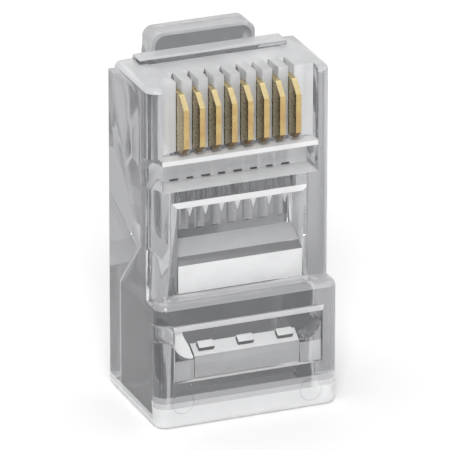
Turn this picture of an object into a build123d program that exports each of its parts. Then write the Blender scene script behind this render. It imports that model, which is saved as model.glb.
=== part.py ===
"""Clear eight-way modular plug, uncrimped, standing on its cable entry.

Millimetres. X is the width, +Z points to the nose that enters the jack, the contacts face -Y and
the latch lever is on the +Y side. The origin is the centre of the cable entry, on the rear face.
Depths in the housing are counted from the contact face of the nose section towards the latch.
"""
import os
from build123d import *

# Contacts
contact_count = 8
contact_pitch = 1.02
contact_thickness = 0.35
contact_height = 3.67
contact_plate_depth = 1.9
contact_proud = 0.35
contact_travel = 0.95
contact_front_chamfer = 0.74
contact_foot_chamfer = 0.48
tine_count = 3
tine_length = 0.36
tine_width = 0.62
slot_clearance = 0.03
slot_end_gap = 0.06

# Cable entry and the walls around it
entry_width = 9.5
entry_depth = 5.6
side_wall = 1.09
rear_front_wall = 1.6
latch_wall = 0.8
rear_step = 1.36

# Heights, stacked from the rear face to the nose
entry_straight = 7.0
rear_height = 8.06
pocket_height = 5.5
bridge_height = 1.1
trough_height = 1.7
trough_roof = 0.3
slot_floor_rise = 0.23
nose_cover = 0.59

# Conductor passage
front_wall = 1.75
trough_depth = 1.75
channel_radius = 0.46
channel_skin = 0.2
channel_start = 11.0
groove_depth = 0.12
neck_rise = 0.85
pocket_width = 8.06
neck_height = 10.4
channel_end_gap = 0.1
guide_width = 0.5
guide_length = 1.36
guide_tip = 0.8

# Nose face
fin_setback = 0.85
comb_width = 9.94
slot_ramp_depth = 2.5
slot_ramp_height = 0.62
pad_width = 9.4
pad_depth = 1.2
pad_height = 0.32
pad_groove_width = 8.4
pad_groove_depth = 0.16
latch_step_depth = 1.14
latch_step_drop = 0.9

# Edges
corner_radius = 0.8
latch_edge_radius = 0.12
nose_edge_radius = 0.4
ledge_radius = 0.55
entry_radius = 0.5
base_radius = 0.4
entry_chamfer = 0.3

# Jacket window and its anchor bar
window_sill = 2.95
window_height = 3.3
window_width = 9.5
window_corner = 1.35
ear_height = 1.35
ear_setback = 0.28
sill_relief = 0.95
bar_gap = 0.04
jacket_bar_setback = 0.29
jacket_bar_height = 1.95
jacket_bar_slope = 0.52
jacket_bar_crest = 0.8
jacket_bar_back = 0.19
jacket_bar_hinge = 0.32
lug_width = 1.0
lug_depth = 0.52
lug_height = 0.34
lug_spacing = 2.53
lug_count = 3

# Conductor anchor bar
wire_bar_setback = 0.03
wire_bar_shoulder = 1.77
wire_bar_height = 2.82
wire_bar_heel = 1.3
wire_bar_side_gap = 0.05

# Latch lever
root_width = 6.6
root_front_gap = 0.4
root_thickness = 1.85
root_rise = 2.05
root_round = 0.65
root_back_round = 0.3
root_rim = 0.2
root_pocket_depth = 1.2
root_lip = 0.3
lever_gap = 0.06
lever_angle = 13.0
lever_length = 13.4
lever_thickness = 1.2
lever_width = 3.25
shoulder_width = 6.0
shoulder_length = 5.6
shoulder_taper = 0.9
lever_tip_round = 0.5

# Derived places
body_width = entry_width + 2 * side_wall
rear_front_y = -(entry_depth / 2 + rear_front_wall)
latch_y = entry_depth / 2 + latch_wall
face_y = rear_front_y + rear_step
nose_depth = latch_y - face_y
pocket_top = rear_height + pocket_height
trough_floor = pocket_top + bridge_height
trough_top = trough_floor + trough_height
comb_floor = trough_top + trough_roof
slot_floor = comb_floor + slot_floor_rise
contact_bottom = slot_floor + slot_end_gap
contact_top = contact_bottom + contact_height
slot_top = contact_top + slot_end_gap
nose_z = slot_top + nose_cover
channel_depth = trough_depth + channel_skin + channel_radius
neck_back = channel_depth + channel_radius - groove_depth
neck_top = pocket_top + neck_rise
slot_depth = contact_plate_depth - contact_proud + tine_length + contact_travel + slot_end_gap
step_depth = nose_depth - latch_step_depth
step_z = nose_z - latch_step_drop
BIG = 30.0


def y_at(depth):
    """Row Y of a depth counted from the contact face of the nose section."""
    return face_y + depth


def block(width, depth_0, depth_1, z_0, z_1):
    """Box centred on X between two depths and two heights."""
    centre = Pos(0, y_at((depth_0 + depth_1) / 2), (z_0 + z_1) / 2)
    return centre * Box(width, depth_1 - depth_0, z_1 - z_0)


def side_prism(points, width):
    """Prism along X from (depth, height) points."""
    outline = Polygon(*[(y_at(depth), z) for depth, z in points], align=None)
    return extrude(Plane.YZ * outline, amount=width / 2, both=True)


def contact_places():
    """X of each contact, from left to right seen from the contact side."""
    return [(i - (contact_count - 1) / 2) * contact_pitch for i in range(contact_count)]


def rounded_column(depth_0, depth_1, bottom, top, top_radius):
    """Upright column with soft contact-side corners and crisp latch-side corners."""
    outline = Pos(0, y_at((depth_0 + depth_1) / 2)) * Rectangle(body_width, depth_1 - depth_0)
    outline = fillet(outline.vertices().group_by(Axis.Y)[0], corner_radius)
    outline = fillet(outline.vertices().group_by(Axis.Y)[-1], latch_edge_radius)
    column = Pos(0, 0, bottom) * extrude(outline, amount=top - bottom)
    return fillet(column.faces().sort_by(Axis.Z)[-1].edges(), top_radius)


def outer_form():
    """Solid outside of the housing: nose column, thicker rear section, pad and latch step."""
    nose = rounded_column(0, nose_depth, rear_height / 2, nose_z, nose_edge_radius)
    rear = rounded_column(-rear_step, nose_depth, 0, rear_height, ledge_radius)
    rear = fillet(rear.faces().sort_by(Axis.Z)[0].edges(), base_radius)
    pad_front = step_depth - pad_depth
    pad = block(pad_width, pad_front, step_depth, nose_z - pad_height, nose_z + pad_height)
    pad = fillet(pad.faces().sort_by(Axis.Z)[-1].edges(), pad_height / 2)
    groove = block(
        pad_groove_width, pad_front - pad_groove_depth, pad_front, nose_z - pad_groove_depth, BIG)
    step = block(BIG, step_depth, BIG, step_z, BIG)
    return nose + rear + pad - groove - step


def cable_cavity():
    """Cable entry, the funnel behind it and the flat neck for the eight conductors."""
    front = rear_front_wall - rear_step
    back = front + entry_depth
    entry = Pos(0, y_at((front + back) / 2)) * RectangleRounded(entry_width, entry_depth, entry_radius)
    mouth = extrude(entry, amount=entry_straight)
    mouth += Pos(0, 0, -1) * extrude(entry, amount=1)
    lead_in = loft([
        Pos(0, 0, -entry_chamfer) * offset(entry, amount=2 * entry_chamfer),
        Pos(0, 0, entry_chamfer) * entry,
    ])
    neck = Pos(0, y_at((front_wall + neck_back) / 2), neck_height)
    neck *= RectangleRounded(pocket_width, neck_back - front_wall, channel_radius * 0.6)
    funnel = loft([Pos(0, 0, entry_straight) * entry, neck])
    passage = extrude(neck, amount=neck_top - neck_height)
    return mouth + lead_in + funnel + passage


def channels():
    """Round conductor channels, one behind each contact slot."""
    length = contact_top - channel_end_gap - channel_start
    bore = Pos(0, y_at(channel_depth), channel_start) * Cylinder(
        channel_radius, length, align=(Align.CENTER, Align.CENTER, Align.MIN))
    return [Pos(x, 0, 0) * bore for x in contact_places()]


def guides():
    """Pointed guides that hang in front of the channels and keep each conductor back from the
    window."""
    tip_z = pocket_top - guide_length
    half = guide_width / 2
    outline = Polygon(
        (-half, neck_top + 0.1),
        (half, neck_top + 0.1),
        (half, tip_z + guide_tip),
        (0, tip_z),
        (-half, tip_z + guide_tip),
        align=None)
    guide = Pos(0, y_at(front_wall), 0) * extrude(
        Plane.XZ * outline, amount=channel_skin, dir=(0, 1, 0))
    return [Pos(x, 0, 0) * guide for x in contact_places()]


def contact_slots():
    """Slots for the contacts, open to the contact side and ramped up to the nose face."""
    profile = [
        (-BIG, slot_floor),
        (slot_depth, slot_floor),
        (slot_depth, slot_top),
        (slot_ramp_depth - slot_ramp_height, slot_top),
        (slot_ramp_depth, slot_top + slot_ramp_height),
        (slot_ramp_depth, BIG),
        (-BIG, BIG),
    ]
    slot = side_prism(profile, contact_thickness + 2 * slot_clearance)
    return [Pos(x, 0, 0) * slot for x in contact_places()]


def jacket_window():
    """Window through the thick wall: a shallow recess, an opening with large lower corners between
    two ears, and below it the place of the anchor bar with a relieved sill."""
    bar_place = window_width - 2 * window_corner
    upper_height = window_height - ear_height
    upper = Pos(0, window_sill + ear_height + upper_height / 2) * Rectangle(window_width, upper_height)
    upper = fillet(upper.vertices().group_by(Axis.Y)[0], window_corner)
    reach = rear_front_wall + 2
    cut = extrude(Plane.XZ * upper, amount=-reach)
    cut = Pos(0, y_at(-rear_step) - 1, 0) * cut
    inner = rear_front_wall - rear_step
    bar_slot = block(bar_place, -rear_step - 1, inner + 0.5, window_sill, window_sill + window_height)
    recess = block(
        window_width, -rear_step - 1, -rear_step + ear_setback, window_sill, window_sill + window_height)
    relief_start = -rear_step + jacket_bar_setback + jacket_bar_hinge
    relief = side_prism(
        [
            (relief_start, window_sill + 0.1),
            (relief_start, window_sill),
            (inner + 0.1, window_sill - sill_relief),
            (inner + 0.1, window_sill + 0.1),
        ],
        bar_place)
    return cut + bar_slot + recess + relief


def make_housing():
    """Clear one-piece housing."""
    solid = outer_form()
    solid -= cable_cavity()
    solid -= channels()
    solid += guides()
    solid -= block(pocket_width, -1, front_wall, rear_height, pocket_top)
    solid -= block(comb_width, -1, trough_depth, trough_floor, trough_top)
    solid -= block(comb_width, -1, fin_setback, comb_floor, BIG)
    solid -= contact_slots()
    solid -= jacket_window()
    return solid


def make_contact(x):
    """Flat contact blade with its piercing tines towards the conductor."""
    front = -contact_proud
    back = front + contact_plate_depth
    points = [
        (front, contact_bottom + contact_foot_chamfer),
        (front, contact_top - contact_front_chamfer),
        (front + contact_front_chamfer, contact_top),
        (back, contact_top),
    ]
    tine_step = contact_height / tine_count
    for i in range(tine_count):
        middle = contact_top - tine_step * (i + 0.5)
        points += [
            (back, middle + tine_width / 2),
            (back + tine_length, middle),
            (back, middle - tine_width / 2),
        ]
    points += [
        (back, contact_bottom),
        (front + contact_foot_chamfer, contact_bottom),
    ]
    return Pos(x, 0, 0) * side_prism(points, contact_thickness)


def make_jacket_bar():
    """Hinged bar that the crimp pushes onto the cable jacket, with its gripping lugs."""
    front = -rear_step + jacket_bar_setback
    back = rear_front_wall - rear_step - jacket_bar_back
    bottom = window_sill + bar_gap
    top = bottom + jacket_bar_height
    crest = front + jacket_bar_crest
    profile = [
        (front, bottom),
        (front, top - jacket_bar_slope),
        (crest, top),
        (back, top - jacket_bar_back),
        (back, bottom + jacket_bar_slope),
        (front + jacket_bar_hinge, bottom),
    ]
    width = window_width - 2 * window_corner - 2 * bar_gap
    bar = side_prism(profile, width)
    slope = Plane(
        origin=(0, y_at(front + jacket_bar_crest * 0.6), top - jacket_bar_slope * 0.4),
        x_dir=(1, 0, 0),
        z_dir=(0, -jacket_bar_slope, jacket_bar_crest))
    lug = slope * Box(lug_width, lug_depth, 2 * lug_height)
    for i in range(lug_count):
        bar += Pos((i - (lug_count - 1) / 2) * lug_spacing, 0, 0) * lug
    return bar


def make_wire_bar():
    """Hinged bar that the crimp pushes onto the eight conductors."""
    front = wire_bar_setback
    bottom = rear_height + bar_gap
    profile = [
        (front, bottom),
        (front, bottom + wire_bar_shoulder),
        (front_wall, bottom + wire_bar_height),
        (front_wall, bottom + wire_bar_heel),
        (rear_front_wall - rear_step, bottom),
    ]
    return side_prism(profile, pocket_width - 2 * wire_bar_side_gap)


def make_latch_lever():
    """Latch lever: the arched root at the nose, the wide shoulders and the narrow finger lever."""
    lean = Vector(0, 1).rotate(Axis.Z, 180 + lever_angle)
    across = Vector(-lean.Y, lean.X)
    start = Vector(nose_depth + lever_gap, step_z)
    inner_end = start + lean * lever_length
    outer_end = inner_end + across * lever_thickness
    root_front = step_depth + root_front_gap
    root_back = root_front + root_thickness
    root_top = step_z + root_rise
    outline = [
        (root_front, step_z + bar_gap),
        (root_front, root_top + 1),
        (root_back, root_top + 1),
        (root_back, step_z),
        (outer_end.X, outer_end.Y),
        (inner_end.X, inner_end.Y),
        (nose_depth + lever_gap, step_z),
        (nose_depth + lever_gap, step_z + bar_gap),
    ]
    profile = Polygon(*[(y_at(depth), z) for depth, z in outline], align=None)
    profile = fillet(profile.vertices().sort_by(Axis.Y)[:2], lever_tip_round)
    lever = extrude(Plane.YZ * profile, amount=root_width / 2, both=True)
    shoulder_z = step_z - shoulder_length
    half_wide = shoulder_width / 2
    half_root = root_width / 2
    half_lever = lever_width / 2
    face = Polygon(
        (-half_root, root_top),
        (-half_root, step_z - 1),
        (-half_wide, step_z - 2),
        (-half_wide, shoulder_z),
        (-half_lever, shoulder_z - shoulder_taper),
        (-half_lever, -1),
        (half_lever, -1),
        (half_lever, shoulder_z - shoulder_taper),
        (half_wide, shoulder_z),
        (half_wide, step_z - 2),
        (half_root, step_z - 1),
        (half_root, root_top),
        align=None)
    face = fillet(face.vertices().group_by(Axis.Y)[-1], root_round)
    lever &= Pos(0, BIG, 0) * extrude(Plane.XZ * face, amount=2 * BIG)
    back_edges = lever.edges().filter_by_position(Axis.Y, y_at(root_back) - 0.01, y_at(root_back) + 0.01)
    back_edges = back_edges.filter_by_position(Axis.Z, step_z + 0.1, root_top + 0.1)
    lever = fillet(back_edges, root_back_round)
    recess_z = step_z + bar_gap + root_lip
    recess_height = root_top - root_rim - recess_z
    recess = Pos(0, recess_z + recess_height / 2) * RectangleRounded(
        root_width - 2 * root_rim, recess_height, recess_height * 0.45)
    cut = extrude(Plane.XZ * recess, amount=-(root_pocket_depth + 1))
    lever -= Pos(0, y_at(root_front) - 1, 0) * cut
    return lever


if __name__ == "__main__":
    os.makedirs("parts", exist_ok=True)
    nodes = {
        "housing": make_housing(),
        "latch_lever": make_latch_lever(),
        "jacket_anchor_bar": make_jacket_bar(),
        "conductor_anchor_bar": make_wire_bar(),
    }
    for number, x in enumerate(contact_places(), start=1):
        nodes[f"contact_{number}"] = make_contact(x)
    for name, shape in nodes.items():
        export_step(shape, f"parts/{name}.step")
        size = shape.bounding_box().size
        print(f"{name}: {size.X:.2f} x {size.Y:.2f} x {size.Z:.2f} mm, {shape.volume:.2f} mm3")
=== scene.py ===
# %% [markdown]
# # A clear network plug
# This scene dresses one small plug of clear plastic with eight gold blades. Nearly all of its look
# comes from light that bends inside the plastic, so the walls, channels and windows of the CAD model
# are real shapes in the picture too. The scene adds soft edges, finishes and a small photo table.

# %% Load the frame
import math

import bmesh
import bpy
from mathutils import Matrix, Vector


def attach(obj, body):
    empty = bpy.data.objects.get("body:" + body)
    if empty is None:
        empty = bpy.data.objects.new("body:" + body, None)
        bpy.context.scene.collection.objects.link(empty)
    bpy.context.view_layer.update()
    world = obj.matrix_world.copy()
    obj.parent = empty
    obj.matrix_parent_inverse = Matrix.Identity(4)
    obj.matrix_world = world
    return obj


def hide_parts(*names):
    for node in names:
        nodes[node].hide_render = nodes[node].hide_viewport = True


MM = 0.001
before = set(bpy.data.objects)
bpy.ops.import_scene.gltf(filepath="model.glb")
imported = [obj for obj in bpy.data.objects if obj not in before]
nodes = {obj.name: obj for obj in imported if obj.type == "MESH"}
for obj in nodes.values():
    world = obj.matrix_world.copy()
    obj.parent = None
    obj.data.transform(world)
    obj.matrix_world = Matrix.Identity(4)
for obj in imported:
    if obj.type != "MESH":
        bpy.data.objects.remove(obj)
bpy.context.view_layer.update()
print("CAD nodes:", ", ".join(sorted(nodes)))

# %% [markdown]
# ## Helpers for node trees
# Every finish is a small tree of nodes. It could be wired by hand in the shader editor, but a script
# can be read and changed in one place. The first helper adds a node and sets its sockets, two open a
# new material or a new group, and one places a group in a tree.

# %% Node helpers
def add_node(tree, kind, inputs=None, **settings):
    node = tree.nodes.new(kind)
    for name, value in settings.items():
        setattr(node, name, value)
    for key, value in (inputs or {}).items():
        node.inputs[key].default_value = value
    return node


def new_material(name):
    material = bpy.data.materials.new(name)
    material.use_nodes = True
    tree = material.node_tree
    tree.nodes.clear()
    output = add_node(tree, "ShaderNodeOutputMaterial")
    return material, tree, output


def new_group(name, inputs, outputs):
    tree = bpy.data.node_groups.new(name, "ShaderNodeTree")
    for label, kind, value in inputs:
        socket = tree.interface.new_socket(label, in_out="INPUT", socket_type=kind)
        socket.default_value = value
    for label, kind in outputs:
        tree.interface.new_socket(label, in_out="OUTPUT", socket_type=kind)
    return tree, add_node(tree, "NodeGroupInput"), add_node(tree, "NodeGroupOutput")


def place_group(tree, group, values):
    node = add_node(tree, "ShaderNodeGroup", node_tree=group)
    for name, value in values.items():
        node.inputs[name].default_value = value
    return node


# %% [markdown]
# Four small steps come back in nearly every finish: a noise on the piece's own coordinates, a value
# stretched from one range to another, two colours mixed by a value, and a fine bump from a height. The
# colour sockets of the Mix node share their names with others, so they are picked by number.

# %% Helpers for the steps that repeat
MIX_FACTOR, MIX_FIRST, MIX_SECOND, MIX_RESULT = 0, 6, 7, 2


def add_noise(tree, vector, scale, detail):
    noise = add_node(tree, "ShaderNodeTexNoise", {"Scale": scale, "Detail": detail, "Roughness": 0.5})
    tree.links.new(vector, noise.inputs["Vector"])
    return noise.outputs["Fac"]


def map_range(tree, value, source, target=(0.0, 1.0)):
    node = add_node(
        tree, "ShaderNodeMapRange", {
            "From Min": source[0], "From Max": source[1], "To Min": target[0], "To Max": target[1]})
    tree.links.new(value, node.inputs["Value"])
    return node.outputs["Result"]


def mix_colours(tree, factor, first, second):
    mix = add_node(tree, "ShaderNodeMix", data_type="RGBA")
    tree.links.new(factor, mix.inputs[MIX_FACTOR])
    for number, colour in ((MIX_FIRST, first), (MIX_SECOND, second)):
        if isinstance(colour, bpy.types.NodeSocket):
            tree.links.new(colour, mix.inputs[number])
        else:
            mix.inputs[number].default_value = (*colour, 1.0)
    return mix.outputs[MIX_RESULT]


def bump_skin(tree, skin, height, strength, distance):
    bump = add_node(tree, "ShaderNodeBump", {"Strength": strength, "Distance": distance})
    tree.links.new(height, bump.inputs["Height"])
    tree.links.new(bump.outputs["Normal"], skin.inputs["Normal"])


# %% [markdown]
# ## Moulded surface
# A polished mould leaves a surface that is never quite flat: it waves a little, and handling adds
# fine scuffs. Moving the vertices could make the waves, but the scuffs are far too fine for that. One
# shader group makes both as a height and a mask, and each clear material uses it with its own amounts.

# %% Shader group for the moulded surface
SCUFF_STRETCH = (1.0, 1.0, 0.18)
SCUFF_HEIGHT = 0.04


def build_moulded_surface():
    group, inside, outside = new_group(
        "moulded_surface",
        [("Wave Scale", "NodeSocketFloat", 300.0), ("Scuff Scale", "NodeSocketFloat", 2500.0),
         ("Scuff Amount", "NodeSocketFloat", 0.3)],
        [("Height", "NodeSocketFloat"), ("Scuffs", "NodeSocketFloat")])
    links = group.links
    where = add_node(group, "ShaderNodeTexCoord")
    wave = add_node(group, "ShaderNodeTexNoise", {"Detail": 1.0, "Roughness": 0.4})
    links.new(where.outputs["Object"], wave.inputs["Vector"])
    links.new(inside.outputs["Wave Scale"], wave.inputs["Scale"])
    stretch = add_node(group, "ShaderNodeMapping", {"Scale": SCUFF_STRETCH})
    links.new(where.outputs["Object"], stretch.inputs["Vector"])
    scuff = add_node(group, "ShaderNodeTexNoise", {"Detail": 3.0, "Roughness": 0.6})
    links.new(stretch.outputs["Vector"], scuff.inputs["Vector"])
    links.new(inside.outputs["Scuff Scale"], scuff.inputs["Scale"])
    amount = add_node(group, "ShaderNodeMath", operation="MULTIPLY")
    links.new(map_range(group, scuff.outputs["Fac"], source=(0.55, 0.75)), amount.inputs[0])
    links.new(inside.outputs["Scuff Amount"], amount.inputs[1])
    small = add_node(group, "ShaderNodeMath", {1: SCUFF_HEIGHT}, operation="MULTIPLY")
    links.new(amount.outputs["Value"], small.inputs[0])
    total = add_node(group, "ShaderNodeMath", operation="ADD")
    links.new(wave.outputs["Fac"], total.inputs[0])
    links.new(small.outputs["Value"], total.inputs[1])
    links.new(total.outputs["Value"], outside.inputs["Height"])
    links.new(amount.outputs["Value"], outside.inputs["Scuffs"])
    return group


moulded_surface = build_moulded_surface()
print("group:", moulded_surface.name)

# %% [markdown]
# ## Ejector pin rings
# Two pins pushed the plug out of its mould and left fine circles low on the rear section. Grooves
# that fine would need many small faces, so a second group draws them as a mask. It measures the
# distance to the middle of each pin, and keeps only the front face.

# %% Shader group for the pin rings
PIN_PLACES = ((-4.22, 1.66), (4.0, 1.2))
PIN_RADIUS, PIN_HALF_LINE = 0.69, 0.035
PIN_FACE_Y = -4.3
RING_SHADE = (0.25, 0.25, 0.26)


def build_pin_rings():
    group, inside, outside = new_group(
        "pin_rings", [("Depth", "NodeSocketFloat", 0.65)], [("Mask", "NodeSocketFloat")])
    links = group.links
    where = add_node(group, "ShaderNodeTexCoord")
    split = add_node(group, "ShaderNodeSeparateXYZ")
    links.new(where.outputs["Object"], split.inputs["Vector"])
    flat = add_node(group, "ShaderNodeCombineXYZ")
    links.new(split.outputs["X"], flat.inputs["X"])
    links.new(split.outputs["Z"], flat.inputs["Z"])
    both = add_node(group, "ShaderNodeMath", operation="MAXIMUM")
    for side, (x, z) in enumerate(PIN_PLACES):
        away = add_node(
            group, "ShaderNodeVectorMath", {1: (x * MM, 0.0, z * MM)}, operation="DISTANCE")
        links.new(flat.outputs["Vector"], away.inputs[0])
        ring = add_node(
            group, "ShaderNodeMath", {1: PIN_RADIUS * MM, 2: PIN_HALF_LINE * MM}, operation="COMPARE")
        links.new(away.outputs["Value"], ring.inputs[0])
        links.new(ring.outputs["Value"], both.inputs[side])
    front = add_node(group, "ShaderNodeMath", {1: PIN_FACE_Y * MM}, operation="LESS_THAN")
    links.new(split.outputs["Y"], front.inputs[0])
    shown = add_node(group, "ShaderNodeMath", operation="MULTIPLY")
    links.new(both.outputs["Value"], shown.inputs[0])
    links.new(front.outputs["Value"], shown.inputs[1])
    mask = add_node(group, "ShaderNodeMath", operation="MULTIPLY")
    links.new(shown.outputs["Value"], mask.inputs[0])
    links.new(inside.outputs["Depth"], mask.inputs[1])
    links.new(mask.outputs["Value"], outside.inputs["Mask"])
    return group


def shade_rings(tree, skin, colour, depth):
    rings = place_group(tree, pin_rings, {"Depth": depth})
    tree.links.new(
        mix_colours(tree, rings.outputs["Mask"], colour, RING_SHADE), skin.inputs["Base Color"])


pin_rings = build_pin_rings()
print("group:", pin_rings.name)

# %% [markdown]
# ## Clear polycarbonate
# Polycarbonate bends light more than window glass: its index is 1.585. Its grey tint is painted shade:
# the real plastic takes far less light, and the tint stands for the shaded surroundings that the plug
# shows through its walls. A volume could take the light away along its path, but a grey tint on the
# surface is quicker and survives the export. It dims the light at each face, so a straight look
# through four faces is mid grey, while a face that mirrors the light inside stays bright. That
# contrast is what makes the plug readable.

# %% Clear plastic material
PLASTIC_IOR = 1.585
SCUFF_ROUGHNESS = 0.12


def build_clear_plastic(name, painted_shade_tint, roughness):
    material, tree, output = new_material(name)
    skin = add_node(
        tree, "ShaderNodeBsdfPrincipled", {"IOR": PLASTIC_IOR, "Transmission Weight": 1.0})
    surface = place_group(
        tree, moulded_surface, {"Wave Scale": 260.0, "Scuff Scale": 2200.0, "Scuff Amount": 0.25})
    rough = map_range(
        tree, surface.outputs["Scuffs"], source=(0.0, 1.0),
        target=(roughness, roughness + SCUFF_ROUGHNESS))
    tree.links.new(rough, skin.inputs["Roughness"])
    bump_skin(tree, skin, surface.outputs["Height"], strength=0.25, distance=0.04 * MM)
    shade_rings(tree, skin, painted_shade_tint, depth=0.35)
    tree.links.new(skin.outputs["BSDF"], output.inputs["Surface"])
    return material


# The grey tint passed here is painted shade.
clear_plastic = build_clear_plastic("clear_polycarbonate", (0.50, 0.505, 0.52), roughness=0.015)
print("material:", clear_plastic.name)

# %% [markdown]
# ## Satin faces, painted light and painted shade
# A mould is polished only where the eye needs to see in, and its small inner faces keep some fine
# grain of the spark that cut them. Here the bands inside the clear body are partly that satin and
# partly
# painted light and shade: white grades stand for walls that mirror the bright room, and dark grades
# are painted shade where the plug shows its shaded inside. One material with a painted mask could hold
# them all, but a separate one for each grade keeps transmission a plain constant. Each is partly matt
# and, but for the whitest, partly clear, with a fine grain and a faint cloud.

# %% Satin plastic material
CLOUD_SHADE, CLOUD_LIGHT = 0.9, 1.06


def build_satin(name, colour, clearness, roughness):
    material, tree, output = new_material(name)
    where = add_node(tree, "ShaderNodeTexCoord")
    grain = add_noise(tree, where.outputs["Object"], scale=5200.0, detail=2.0)
    cloud = add_noise(tree, where.outputs["Object"], scale=900.0, detail=2.0)
    darker = [part * CLOUD_SHADE for part in colour]
    lighter = [min(1.0, part * CLOUD_LIGHT) for part in colour]
    skin = add_node(
        tree, "ShaderNodeBsdfPrincipled",
        {"Roughness": roughness, "IOR": PLASTIC_IOR, "Transmission Weight": clearness})
    shade_rings(tree, skin, mix_colours(tree, cloud, darker, lighter), depth=0.3)
    bump_skin(tree, skin, grain, strength=0.3, distance=0.01 * MM)
    tree.links.new(skin.outputs["BSDF"], output.inputs["Surface"])
    return material


# %% [markdown]
# The grades run from opaque white through milky, hazy and faint to nearly clear. The bright and white
# grades are painted light, and the grey one is painted shade. Two more are dark, as painted shade:
# smoke for the neck, and deep for the cavity that a cable would fill. The last one isn't satin. It is
# the clear plastic with a darker tint, painted shade on the outer sides. The numbers are the material
# slots on each moulded piece.

# %% Grades of satin, painted light and painted shade
# White and bright grades are painted light; grey, deep, smoke and the darker side are painted shade.
WHITE_PAINTED_LIGHT, GREY_PAINTED_SHADE, MILK, HAZE, FAINT, DEEP_PAINTED_SHADE, BRIGHT_PAINTED_LIGHT, SMOKE_PAINTED_SHADE, SIDE_PAINTED_SHADE = range(1, 10)
satins_and_painted_light = {
    WHITE_PAINTED_LIGHT: build_satin("painted_light_white", (0.88, 0.885, 0.89), clearness=0.15, roughness=0.4),
    GREY_PAINTED_SHADE: build_satin("painted_shade_grey", (0.72, 0.73, 0.745), clearness=0.45, roughness=0.35),
    MILK: build_satin("satin_milk", (0.88, 0.885, 0.89), clearness=0.2, roughness=0.3),
    HAZE: build_satin("satin_haze", (0.86, 0.865, 0.875), clearness=0.48, roughness=0.22),
    FAINT: build_satin("satin_faint", (0.82, 0.825, 0.835), clearness=0.7, roughness=0.16),
    DEEP_PAINTED_SHADE: build_satin("painted_shade_deep", (0.19, 0.193, 0.20), clearness=0.82, roughness=0.06),
    BRIGHT_PAINTED_LIGHT: build_satin("painted_light_bright", (0.93, 0.93, 0.935), clearness=0.0, roughness=0.5),
    SMOKE_PAINTED_SHADE: build_satin("painted_shade_smoke", (0.42, 0.425, 0.44), clearness=0.6, roughness=0.15),
    SIDE_PAINTED_SHADE: build_clear_plastic("clear_side_painted_shade", (0.33, 0.334, 0.345), roughness=0.02),
}
print("materials:", ", ".join(satin.name for satin in satins_and_painted_light.values()))

# %% [markdown]
# ## Gold blades
# The blades are stamped from bronze and plated. The narrow front edge is coined smooth and shines
# yellow, and the sheared sides are duller and browner. The chamfers carry painted light: painted shade
# darkens the one turned down, and a painted highlight lightens the one turned up.
# Separate materials would need painted faces, so one material tells the faces apart by their normal.

# %% Gold material
YELLOW_PLATE, RED_PLATE = (0.56, 0.425, 0.19), (0.50, 0.33, 0.15)
SHEARED_SIDE = (0.46, 0.39, 0.25)
# Painted shade for chamfers turned down, a painted highlight for those turned up.
LOWER_CHAMFER_PAINTED_SHADE, UPPER_CHAMFER_PAINTED_HIGHLIGHT = (0.20, 0.11, 0.035), (0.72, 0.59, 0.32)
DOWNWARDS, UPWARDS = (-0.2, -0.6), (0.2, 0.6)


def build_gold():
    material, tree, output = new_material("gold_plate")
    links = tree.links
    where = add_node(tree, "ShaderNodeTexCoord")
    shape = add_node(tree, "ShaderNodeNewGeometry")
    split = add_node(tree, "ShaderNodeSeparateXYZ")
    links.new(shape.outputs["Normal"], split.inputs["Vector"])
    side = add_node(tree, "ShaderNodeMath", operation="ABSOLUTE")
    links.new(split.outputs["X"], side.inputs[0])
    stamping = add_node(tree, "ShaderNodeMapping", {"Scale": (1.0, 0.3, 1.0)})
    links.new(where.outputs["Object"], stamping.inputs["Vector"])
    grain = add_noise(tree, stamping.outputs["Vector"], scale=7000.0, detail=3.0)
    cloud = add_noise(tree, where.outputs["Object"], scale=1400.0, detail=2.0)
    colour = mix_colours(tree, map_range(tree, cloud, source=(0.4, 0.65)), YELLOW_PLATE, RED_PLATE)
    colour = mix_colours(tree, side.outputs["Value"], colour, SHEARED_SIDE)
    # The chamfers get painted shade below and a painted highlight above, by the normal's height.
    for turned, shade in ((DOWNWARDS, LOWER_CHAMFER_PAINTED_SHADE), (UPWARDS, UPPER_CHAMFER_PAINTED_HIGHLIGHT)):
        colour = mix_colours(tree, map_range(tree, split.outputs["Z"], source=turned), colour, shade)
    skin = add_node(tree, "ShaderNodeBsdfPrincipled", {"Metallic": 1.0})
    links.new(colour, skin.inputs["Base Color"])
    rough = map_range(tree, grain, source=(0.35, 0.7), target=(0.16, 0.34))
    links.new(rough, skin.inputs["Roughness"])
    bump_skin(tree, skin, grain, strength=0.3, distance=0.01 * MM)
    links.new(skin.outputs["BSDF"], output.inputs["Surface"])
    return material


gold = build_gold()
print("material:", gold.name)

# %% [markdown]
# ## Finishes, painted light and painted shade by place
# The satin faces and the faces with painted light and shade belong to one moulding, so they aren't
# pieces of their own. They could be marked in edit mode, but boxes around them are easier to read and
# to move. Places are in millimetres: x across the plug, depth behind the front face of the nose, and z
# above the table. Where a finish ends in the middle of a face, the mesh is cut there first. A later
# zone wins over an earlier one.

# %% Helpers for places on the plug
FACE_Y = -3.04
ACROSS, DEPTH, HEIGHT = 0, 1, 2
FRONT, UP, DOWN, LEFT, RIGHT = (0, -1, 0), (0, 0, 1), (0, 0, -1), (-1, 0, 0), (1, 0, 0)
TOUCHING = 0.000001


def zone(finish, x, depth, z, facing=None, least=0.7):
    low, high = zip(x, depth, z)
    return finish, low, high, facing, least


def cut(axis, place, x, depth, z):
    low, high = zip(x, depth, z)
    return axis, place, low, high


def in_box(point, low, high):
    place = (point.x / MM, point.y / MM - FACE_Y, point.z / MM)
    return all(a <= v <= b for a, v, b in zip(low, place, high))


def paint_zones(mesh, zones):
    for finish, low, high, facing, least in zones:
        for polygon in mesh.polygons:
            turned = facing is None or polygon.normal.dot(Vector(facing)) >= least
            if turned and in_box(polygon.center, low, high):
                polygon.material_index = finish


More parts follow.
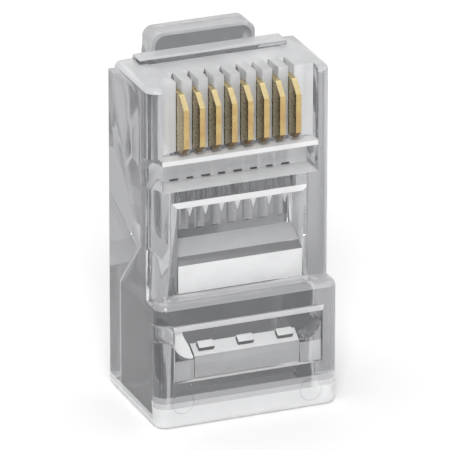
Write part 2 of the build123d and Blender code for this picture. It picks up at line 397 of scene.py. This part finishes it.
def cut_mesh(mesh, cuts):
    form = bmesh.new()
    form.from_mesh(mesh)
    for axis, place, low, high in cuts:
        faces = [f for f in form.faces if in_box(f.calc_center_median(), low, high)]
        near = faces + [e for f in faces for e in f.edges] + [v for f in faces for v in f.verts]
        point, normal = [0, 0, 0], [0, 0, 0]
        point[axis] = (place + (FACE_Y if axis == DEPTH else 0)) * MM
        normal[axis] = 1
        bmesh.ops.bisect_plane(
            form, geom=list(dict.fromkeys(near)), dist=TOUCHING, plane_co=point, plane_no=normal)
    form.to_mesh(mesh)
    form.free()


# %% [markdown]
# The foot of the rear section is painted milky, as painted light from the table below, and clears
# upwards. A gradient in one material would need a changing transmission, so the foot is cut into steps
# that get clearer instead. The left outer side has a narrow milky edge of painted light at its foot
# too, and both outer sides and the front of the right pillar take the darker tint, which is painted
# shade.

# %% Zones of the foot and the sides
WHOLE_WIDTH, WINDOW_WIDTH, COMB_WIDTH = (-6, 6), (-4.1, 4.1), (-5.0, 5.0)
FOOT_DEPTH = (-1.5, -0.3)
# Milky steps of painted light at the foot, clearer towards the top.
FOOT_LIGHT_STEPS = ((WHITE_PAINTED_LIGHT, 0.75), (MILK, 1.05), (MILK, 1.35), (HAZE, 1.7), (FAINT, 2.1))
foot_zones, bottom = [], -0.1
for finish, top in FOOT_LIGHT_STEPS:
    foot_zones.append(zone(finish, x=WHOLE_WIDTH, depth=FOOT_DEPTH, z=(bottom, top)))
    bottom = top
foot_cuts = [
    cut(HEIGHT, top, x=WHOLE_WIDTH, depth=FOOT_DEPTH, z=(0.3, 8.0)) for finish, top in FOOT_LIGHT_STEPS]
foot_cuts += [
    cut(HEIGHT, top, x=(-6, -5.7), depth=(-1.5, 7.0), z=(0.2, 21.0)) for top in (0.5, 0.8)]
# The darker side tint is painted shade; the milky edge at the left foot is painted light.
side_zones = [
    zone(SIDE_PAINTED_SHADE, x=(-5.9, -5.8), depth=(-1.5, 6.7), z=(2.1, 21.3), facing=LEFT),
    zone(SIDE_PAINTED_SHADE, x=(5.8, 5.9), depth=(-1.5, 6.7), z=(2.95, 21.3), facing=RIGHT),
    zone(SIDE_PAINTED_SHADE, x=(4.25, 5.9), depth=(-0.1, 0.1), z=(8.1, 20.8), facing=FRONT),
    zone(MILK, x=(-6, -5.3), depth=(-0.3, 7.0), z=(-0.1, 0.5)),
    zone(HAZE, x=(-6, -5.3), depth=(-0.3, 7.0), z=(0.5, 0.8)),
]
pillar_cuts = [cut(ACROSS, 4.25, x=WHOLE_WIDTH, depth=(-0.1, 0.1), z=(8.0, 21.5))]
print("foot and side zones:", len(foot_zones) + len(side_zones))

# %% [markdown]
# The upper window shows the flat neck and the guides that lead the wires into their channels. The
# guides carry the brightest painted light of all, and the neck behind them is darkened by painted
# shade.
# The underside of the bridge and the pocket's left wall take painted light, its right wall painted
# shade.

# %% Zones of the upper window
# White and bright faces are painted light; the neck and the right wall are painted shade.
window_zones = [
    zone(WHITE_PAINTED_LIGHT, x=WINDOW_WIDTH, depth=(-0.05, 1.7), z=(13.5, 13.62), facing=DOWN),
    zone(SMOKE_PAINTED_SHADE, x=WINDOW_WIDTH, depth=(2.4, 3.0), z=(10.4, 14.4), facing=FRONT, least=0.3),
    zone(BRIGHT_PAINTED_LIGHT, x=(-4.0, 4.0), depth=(1.6, 2.0), z=(12.1, 13.54)),
    zone(WHITE_PAINTED_LIGHT, x=(-4.1, -4.0), depth=(0.0, 1.75), z=(8.0, 12.0), facing=RIGHT),
    zone(GREY_PAINTED_SHADE, x=(4.0, 4.1), depth=(0.0, 1.75), z=(8.0, 13.6), facing=LEFT),
]
print("upper window zones:", len(window_zones))

# %% [markdown]
# The jacket window below has painted light on the white edges above and below its opening, a hazy
# strip over it, and two ears that are almost clear. The ledge on top of the rear section is as faint
# as the ears.

# %% Zones of the jacket window
# The white edges are painted light.
jacket_window_zones = [
    zone(WHITE_PAINTED_LIGHT, x=(-4.8, 4.8), depth=(-1.3, 0.3), z=(6.2, 6.3), facing=DOWN),
    zone(FAINT, x=(-4.8, -3.3), depth=(-1.15, -1.0), z=(2.9, 4.25), facing=FRONT),
    zone(FAINT, x=(3.3, 4.8), depth=(-1.15, -1.0), z=(2.9, 4.25), facing=FRONT),
    zone(FAINT, x=(-5.9, 5.9), depth=(-1.4, 0.0), z=(7.5, 8.2), facing=UP, least=0.3),
    zone(WHITE_PAINTED_LIGHT, x=(-3.6, 3.6), depth=(-1.4, 0.4), z=(1.9, 3.0), facing=UP, least=0.3),
    zone(HAZE, x=(-4.9, 4.9), depth=(-1.4, -1.3), z=(6.2, 6.6), facing=FRONT, least=0.5),
]
ear_cuts = [
    cut(HEIGHT, 4.25, x=ear, depth=(-1.15, -0.9), z=(2.9, 6.0)) for ear in ((-4.8, -3.2), (3.2, 4.8))]
print("jacket window zones:", len(jacket_window_zones))

# %% [markdown]
# Under the blades lie a ledge and a strip over the upper window, both white with painted light, and
# the milky trough. The comb and the top of the nose are hazy, so the gold stands out against them.
# Deep inside, the walls of the cable cavity are darkened by painted shade.

# %% Zones of the trough, the nose and the cavity
# The white ledge and strip are painted light.
trough_zones = [
    zone(WHITE_PAINTED_LIGHT, x=COMB_WIDTH, depth=(-0.05, 0.9), z=(16.6, 16.95), facing=UP, least=0.6),
    zone(WHITE_PAINTED_LIGHT, x=COMB_WIDTH, depth=(-0.05, 0.05), z=(16.3, 16.7), facing=FRONT, least=0.4),
    zone(MILK, x=COMB_WIDTH, depth=(-0.05, 1.8), z=(14.6, 14.72), facing=UP),
    zone(MILK, x=COMB_WIDTH, depth=(1.7, 1.8), z=(14.6, 16.4), facing=FRONT),
    zone(WHITE_PAINTED_LIGHT, x=WINDOW_WIDTH, depth=(-0.05, 0.05), z=(13.5, 13.95), facing=FRONT, least=0.5),
]
strip_cuts = [
    cut(HEIGHT, 13.95, x=(-4.2, 4.2), depth=(-0.1, 0.1), z=(13.4, 14.8)),
    cut(HEIGHT, 6.6, x=COMB_WIDTH, depth=(-1.45, -1.25), z=(6.2, 8.1)),
]
nose_zones = [
    zone(HAZE, x=(-5.9, 5.9), depth=(0.0, 6.7), z=(20.9, 21.7), facing=UP, least=0.3),
    zone(HAZE, x=(-4.0, 4.0), depth=(0.8, 2.6), z=(17.0, 21.3), facing=RIGHT),
    zone(HAZE, x=(-4.0, 4.0), depth=(0.8, 2.6), z=(17.0, 21.3), facing=LEFT),
    zone(HAZE, x=(-4.9, 4.9), depth=(0.8, 0.9), z=(16.95, 21.3), facing=FRONT),
]
# The dark cavity walls are painted shade.
cavity_zones = [
    zone(DEEP_PAINTED_SHADE, x=(-4.9, 4.9), depth=(5.0, 6.0), z=(1.4, 8.0), facing=FRONT, least=0.3),
    zone(DEEP_PAINTED_SHADE, x=(-4.85, -4.65), depth=(0.3, 5.9), z=(1.4, 7.0), facing=RIGHT),
    zone(DEEP_PAINTED_SHADE, x=(4.65, 4.85), depth=(0.3, 5.9), z=(1.4, 7.0), facing=LEFT),
]
housing_zones = foot_zones + side_zones + window_zones + jacket_window_zones + trough_zones
housing_zones += nose_zones + cavity_zones
housing_cuts = foot_cuts + ear_cuts + strip_cuts + pillar_cuts
print("housing zones:", len(housing_zones), "cuts:", len(housing_cuts))

# %% [markdown]
# The three small mouldings have their own zones: the lever's root is faint with a recess darkened by
# painted shade, the jacket bar has a top painted white with painted light, and the conductor bar has a
# front painted white with painted light under a top that is darkened by painted shade at the front and
# hazy behind.

# %% Zones of the lever and the bars
# The dark recess of the lever is painted shade.
lever_zones = [
    zone(FAINT, x=(-3.4, 3.4), depth=(5.8, 9.0), z=(20.5, 23.0)),
    zone(DEEP_PAINTED_SHADE, x=(-3.1, 3.1), depth=(6.5, 7.3), z=(20.6, 22.4), facing=FRONT, least=0.3),
]
# The white top and front are painted light; the smoky top of the conductor bar is painted shade.
jacket_bar_zones = [
    zone(WHITE_PAINTED_LIGHT, x=(-3.4, 3.4), depth=(-1.1, 0.3), z=(4.2, 5.6), facing=UP, least=0.3),
    zone(FAINT, x=(-3.4, 3.4), depth=(-1.1, -1.0), z=(3.0, 4.5), facing=FRONT),
]
wire_bar_zones = [
    zone(WHITE_PAINTED_LIGHT, x=WINDOW_WIDTH, depth=(-0.1, 0.1), z=(8.0, 9.9), facing=FRONT, least=0.5),
    zone(SMOKE_PAINTED_SHADE, x=WINDOW_WIDTH, depth=(-0.1, 0.6), z=(9.5, 11.1), facing=UP, least=0.3),
    zone(HAZE, x=WINDOW_WIDTH, depth=(0.6, 2.0), z=(9.5, 11.1), facing=UP, least=0.3),
]
wire_bar_cuts = [cut(DEPTH, 0.6, x=WINDOW_WIDTH, depth=(-0.1, 2.0), z=(9.5, 11.1))]
print("lever and bar zones:", len(lever_zones + jacket_bar_zones + wire_bar_zones))

# %% [markdown]
# ## Soft edges on the moulded pieces
# The imported mesh is a set of loose triangles with razor edges. A bevel shader could fake round ones,
# but here a copy with its doubles merged gets a real, fine bevel, and every edge catches light as a
# moulded edge does. The copy then stands for the node in the picture.

# %% Bevelled copies of the nodes
BEVEL_ABOVE, SMOOTH_BELOW = math.radians(32), math.radians(30)


def bevelled_copy(node_name, edge):
    piece = bpy.data.objects.new(node_name + "_soft", nodes[node_name].data.copy())
    bpy.context.scene.collection.objects.link(piece)
    weld = piece.modifiers.new("weld", "WELD")
    weld.merge_threshold = TOUCHING
    bevel = piece.modifiers.new("bevel", "BEVEL")
    bevel.width = edge * MM
    bevel.segments = 2
    bevel.limit_method = "ANGLE"
    bevel.angle_limit = BEVEL_ABOVE
    depsgraph = bpy.context.evaluated_depsgraph_get()
    finished = bpy.data.meshes.new_from_object(piece.evaluated_get(depsgraph))
    piece.modifiers.clear()
    piece.data = finished
    finished.name = node_name + "_soft"
    return piece


def soften(node_name, body, material, edge, zones=(), cuts=()):
    piece = bevelled_copy(node_name, edge)
    mesh = piece.data
    mesh.materials.clear()
    mesh.materials.append(material)
    cut_mesh(mesh, cuts)
    for polygon in mesh.polygons:
        polygon.use_smooth = True
        polygon.material_index = 0
    if zones:
        for satin in satins_and_painted_light.values():
            mesh.materials.append(satin)
        paint_zones(mesh, zones)
    mesh.set_sharp_from_angle(angle=SMOOTH_BELOW)
    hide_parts(node_name)
    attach(piece, body)
    print(node_name, "faces:", len(mesh.polygons))


# %% The four mouldings and the eight blades
soften(
    "housing", "housing", clear_plastic, edge=0.04, zones=housing_zones,
    cuts=housing_cuts)
soften("latch_lever", "latch", clear_plastic, edge=0.05, zones=lever_zones)
soften(
    "jacket_anchor_bar", "jacket_bar", clear_plastic, edge=0.03,
    zones=jacket_bar_zones)
soften(
    "conductor_anchor_bar", "conductor_bar", clear_plastic, edge=0.02,
    zones=wire_bar_zones, cuts=wire_bar_cuts)
for number in range(1, 9):
    soften(f"contact_{number}", f"contact_{number}", gold, edge=0.025)

# %% [markdown]
# ## Slits behind the trough
# For each contact, a short dark slit sits low in the trough's back wall; its dark colour is painted
# shade. Eight copies could be set by a loop, but a small tree of geometry nodes keeps their count,
# spacing and size as inputs. It also changes their lengths a little, from a fixed seed.

# %% Tree for a row of slits
RANDOM_MIN, RANDOM_MAX, RANDOM_SEED, RANDOM_VALUE = 2, 3, 8, 1
SLIT_SEED = 4


def build_slit_row():
    tree = bpy.data.node_groups.new("slit_row", "GeometryNodeTree")
    for label, kind in (
            ("Count", "NodeSocketInt"), ("Start", "NodeSocketVector"), ("Step", "NodeSocketVector"),
            ("Slit Size", "NodeSocketVector"), ("Shortest", "NodeSocketFloat"),
            ("Finish", "NodeSocketMaterial")):
        tree.interface.new_socket(label, in_out="INPUT", socket_type=kind)
    tree.interface.new_socket("Row", in_out="OUTPUT", socket_type="NodeSocketGeometry")
    links = tree.links
    inside, outside = add_node(tree, "NodeGroupInput"), add_node(tree, "NodeGroupOutput")
    line = add_node(tree, "GeometryNodeMeshLine", mode="OFFSET")
    links.new(inside.outputs["Count"], line.inputs["Count"])
    links.new(inside.outputs["Start"], line.inputs["Start Location"])
    links.new(inside.outputs["Step"], line.inputs["Offset"])
    slit = add_node(tree, "GeometryNodeMeshCube")
    links.new(inside.outputs["Slit Size"], slit.inputs["Size"])
    stretch = add_node(
        tree, "FunctionNodeRandomValue", {RANDOM_MAX: 1.0, RANDOM_SEED: SLIT_SEED}, data_type="FLOAT")
    links.new(inside.outputs["Shortest"], stretch.inputs[RANDOM_MIN])
    scale = add_node(tree, "ShaderNodeCombineXYZ", {"Y": 1.0, "Z": 1.0})
    links.new(stretch.outputs[RANDOM_VALUE], scale.inputs["X"])
    copies = add_node(tree, "GeometryNodeInstanceOnPoints")
    links.new(line.outputs["Mesh"], copies.inputs["Points"])
    links.new(slit.outputs["Mesh"], copies.inputs["Instance"])
    links.new(scale.outputs["Vector"], copies.inputs["Scale"])
    real = add_node(tree, "GeometryNodeRealizeInstances")
    links.new(copies.outputs["Instances"], real.inputs["Geometry"])
    finish = add_node(tree, "GeometryNodeSetMaterial")
    links.new(real.outputs["Geometry"], finish.inputs["Geometry"])
    links.new(inside.outputs["Finish"], finish.inputs["Material"])
    links.new(finish.outputs["Geometry"], outside.inputs["Row"])
    return tree


# %% Grow the slits into a plain mesh
CONTACT_PITCH, SLIT_DEPTH, SLIT_HEIGHT = 1.02, 1.735, 14.73
FIRST_SLIT = (-3.5 * CONTACT_PITCH * MM, (FACE_Y + SLIT_DEPTH) * MM, SLIT_HEIGHT * MM)


def grow(name, tree, values):
    piece = bpy.data.objects.new(name, bpy.data.meshes.new(name))
    bpy.context.scene.collection.objects.link(piece)
    grown = piece.modifiers.new("grown", "NODES")
    grown.node_group = tree
    for item in tree.interface.items_tree:
        if item.in_out == "INPUT":
            grown[item.identifier] = values[item.name]
    depsgraph = bpy.context.evaluated_depsgraph_get()
    mesh = bpy.data.meshes.new_from_object(piece.evaluated_get(depsgraph))
    piece.modifiers.clear()
    piece.data = mesh
    mesh.name = name
    print(name, "faces:", len(mesh.polygons))
    return piece


# The slits' dark colour is painted shade.
slits = grow("core_slits", build_slit_row(), {
    "Count": 8, "Start": FIRST_SLIT, "Step": (CONTACT_PITCH * MM, 0, 0),
    "Slit Size": (0.6 * MM, 0.03 * MM, 0.1 * MM), "Shortest": 0.65,
    "Finish": build_satin("slit_painted_shade", (0.13, 0.132, 0.14), clearness=0.3, roughness=0.4)})
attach(slits, "housing")

# %% [markdown]
# ## Web beside the jacket bar
# A thin curved web of flash runs down the left corner of the jacket window to the end of the bar. A
# bent strip or a curve would work too, but its outline is what shows. So it is a flat crescent with a
# little thickness, between the corner's arc and a steeper inner curve.

# %% Window web
ARC_MIDDLE, ARC_RADIUS = (-3.4, 5.65), 1.37
ARC_STEP, ARC_POINTS = math.radians(8.5), 11
WEB_TOP = (-4.77, 6.27)
WEB_INNER = (
    (-3.45, 4.4), (-3.58, 4.72), (-3.7, 5.1), (-3.92, 5.5), (-4.1, 5.85), (-4.17, 6.1), (-3.8, 6.19),
    (-3.2, 6.27))
WEB_DEPTH, WEB_THICKNESS = -1.06, 0.07


def build_web():
    outer = [
        (ARC_MIDDLE[0] - ARC_RADIUS * math.cos(ARC_STEP * step),
         ARC_MIDDLE[1] - ARC_RADIUS * math.sin(ARC_STEP * step))
        for step in range(ARC_POINTS)]
    outline = [(x * MM, z * MM) for x, z in (WEB_TOP, *outer, *WEB_INNER)]
    count = len(outline)
    near, far = (FACE_Y + WEB_DEPTH) * MM, (FACE_Y + WEB_DEPTH + WEB_THICKNESS) * MM
    points = [(x, near, z) for x, z in outline] + [(x, far, z) for x, z in outline]
    faces = [tuple(range(count)), tuple(reversed(range(count, 2 * count)))]
    faces += [(i, i + count, (i + 1) % count + count, (i + 1) % count) for i in range(count)]
    mesh = bpy.data.meshes.new("window_web")
    mesh.from_pydata(points, [], faces)
    form = bmesh.new()
    form.from_mesh(mesh)
    bmesh.ops.triangulate(form, faces=form.faces)
    bmesh.ops.recalc_face_normals(form, faces=form.faces)
    form.to_mesh(mesh)
    form.free()
    # The web's white is painted light.
    mesh.materials.append(satins_and_painted_light[WHITE_PAINTED_LIGHT])
    web = bpy.data.objects.new("window_web", mesh)
    bpy.context.scene.collection.objects.link(web)
    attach(web, "housing")
    print(web.name, "faces:", len(mesh.polygons))


build_web()

# %% [markdown]
# ## Photo table
# The plug stands on a pale sweep, and clear plastic shows mostly what is around it. Brighter lamps
# would make the table white, but they would burn out the plug too. So the light stays plain, and the
# sweep is lifted towards white only for the rays that the picture, gloss and clear walls see. It still
# takes the plug's shadow.

# %% Sweep
SWEEP_HALF = 0.9
SWEEP_LIFT = 0.12


def picture_rays(tree):
    path = add_node(tree, "ShaderNodeLightPath")
    direct = add_node(tree, "ShaderNodeMath", operation="MAXIMUM")
    tree.links.new(path.outputs["Is Camera Ray"], direct.inputs[0])
    tree.links.new(path.outputs["Is Glossy Ray"], direct.inputs[1])
    through = add_node(tree, "ShaderNodeMath", operation="MAXIMUM")
    tree.links.new(direct.outputs["Value"], through.inputs[0])
    tree.links.new(path.outputs["Is Transmission Ray"], through.inputs[1])
    return through.outputs["Value"]


def build_sweep():
    material, tree, output = new_material("pale_paper")
    skin = add_node(
        tree, "ShaderNodeBsdfPrincipled", {
            "Base Color": (0.93, 0.93, 0.935, 1.0), "Roughness": 0.75,
            "Emission Color": (1.0, 1.0, 1.0, 1.0)})
    lift = add_node(tree, "ShaderNodeMath", {1: SWEEP_LIFT}, operation="MULTIPLY")
    tree.links.new(picture_rays(tree), lift.inputs[0])
    tree.links.new(lift.outputs["Value"], skin.inputs["Emission Strength"])
    tree.links.new(skin.outputs["BSDF"], output.inputs["Surface"])
    corners = [(x * SWEEP_HALF, y * SWEEP_HALF, 0) for x, y in ((-1, -1), (1, -1), (1, 1), (-1, 1))]
    mesh = bpy.data.meshes.new("sweep")
    mesh.from_pydata(corners, [], [(0, 1, 2, 3)])
    mesh.materials.append(material)
    sweep = bpy.data.objects.new("sweep", mesh)
    bpy.context.scene.collection.objects.link(sweep)
    print("stage:", sweep.name)


build_sweep()

# %% [markdown]
# ## Room and lamps
# A photo tent lights such a plug from all sides. The world stands for the tent: it lights the plug at
# half strength, and looks white in the picture and in the reflections. A picture of a studio could
# give more shape, but a plain room keeps the clear body calm. One soft panel hangs over the camera,
# and a larger one above the plug and a little behind it.

# %% World and panels
ROOM_LIGHT, ROOM_SEEN = 0.5, 1.0
PLUG_MIDDLE = (0.0, 0.0, 0.010)
KEY_AZIMUTH, KEY_ELEVATION, KEY_DISTANCE = math.radians(-22.0), math.radians(42.0), 0.6


def build_world():
    world = bpy.data.worlds.new("white_room")
    bpy.context.scene.world = world
    world.use_nodes = True
    tree = world.node_tree
    tree.nodes.clear()
    output = add_node(tree, "ShaderNodeOutputWorld")
    room = add_node(tree, "ShaderNodeBackground", {"Color": (1, 1, 1, 1), "Strength": ROOM_LIGHT})
    seen = add_node(tree, "ShaderNodeBackground", {"Color": (1, 1, 1, 1), "Strength": ROOM_SEEN})
    choose = add_node(tree, "ShaderNodeMixShader")
    tree.links.new(picture_rays(tree), choose.inputs["Fac"])
    tree.links.new(room.outputs["Background"], choose.inputs[1])
    tree.links.new(seen.outputs["Background"], choose.inputs[2])
    tree.links.new(choose.outputs["Shader"], output.inputs["Surface"])
    print("world:", world.name)


def seen_from(azimuth, elevation):
    return (
        math.sin(azimuth) * math.cos(elevation),
        -math.cos(azimuth) * math.cos(elevation),
        math.sin(elevation))


def add_panel(name, place, size, power):
    light = bpy.data.lights.new(name, "AREA")
    light.shape = "RECTANGLE"
    light.size, light.size_y = size
    light.energy = power
    panel = bpy.data.objects.new(name, light)
    panel.location = place
    direction = Vector(PLUG_MIDDLE) - Vector(place)
    panel.rotation_euler = direction.to_track_quat("-Z", "Y").to_euler()
    bpy.context.scene.collection.objects.link(panel)
    print(name, "watts:", power)


build_world()
key_place = [KEY_DISTANCE * part for part in seen_from(KEY_AZIMUTH, KEY_ELEVATION)]
add_panel("key_panel", key_place, size=(0.16, 0.16), power=1.7)
add_panel("top_panel", (-0.04, 0.14, 0.50), size=(0.5, 0.5), power=0.75)

# %% [markdown]
# ## Camera
# The picture was taken from far away with a long lens, from the left of the contacts and a little
# above. An orthographic camera would come close, but the real one shows a slight perspective. So the
# camera stands 454 mm off, where lines stay nearly parallel.

# %% Camera
AZIMUTH, ELEVATION, DISTANCE = math.radians(-21.9), math.radians(22.27), 0.4543
TARGET = (0.0002, -0.00007, 0.01079)
SENSOR_WIDTH, FOCAL_LENGTH = 36.0, 608.0


def build_camera():
    data = bpy.data.cameras.new("camera")
    data.sensor_width = SENSOR_WIDTH
    data.lens = FOCAL_LENGTH
    data.clip_start, data.clip_end = 0.01, 10.0
    camera = bpy.data.objects.new("camera", data)
    camera.location = [t + DISTANCE * b for t, b in zip(TARGET, seen_from(AZIMUTH, ELEVATION))]
    camera.rotation_euler = (math.pi / 2 - ELEVATION, 0.0, AZIMUTH)
    bpy.context.scene.collection.objects.link(camera)
    bpy.context.scene.camera = camera
    print("lens in mm:", data.lens)


build_camera()

# %% [markdown]
# ## Light paths
# Light crosses many clear walls here, so a ray may bend or bounce 32 times before it is given up.
# Fewer steps would be quicker, but they darken the inside of the plug.

# %% Light paths
LIGHT_BOUNCES = 32
scene = bpy.context.scene
scene.view_settings.view_transform = "Standard"
scene.cycles.max_bounces = LIGHT_BOUNCES
scene.cycles.glossy_bounces = LIGHT_BOUNCES
scene.cycles.transmission_bounces = LIGHT_BOUNCES
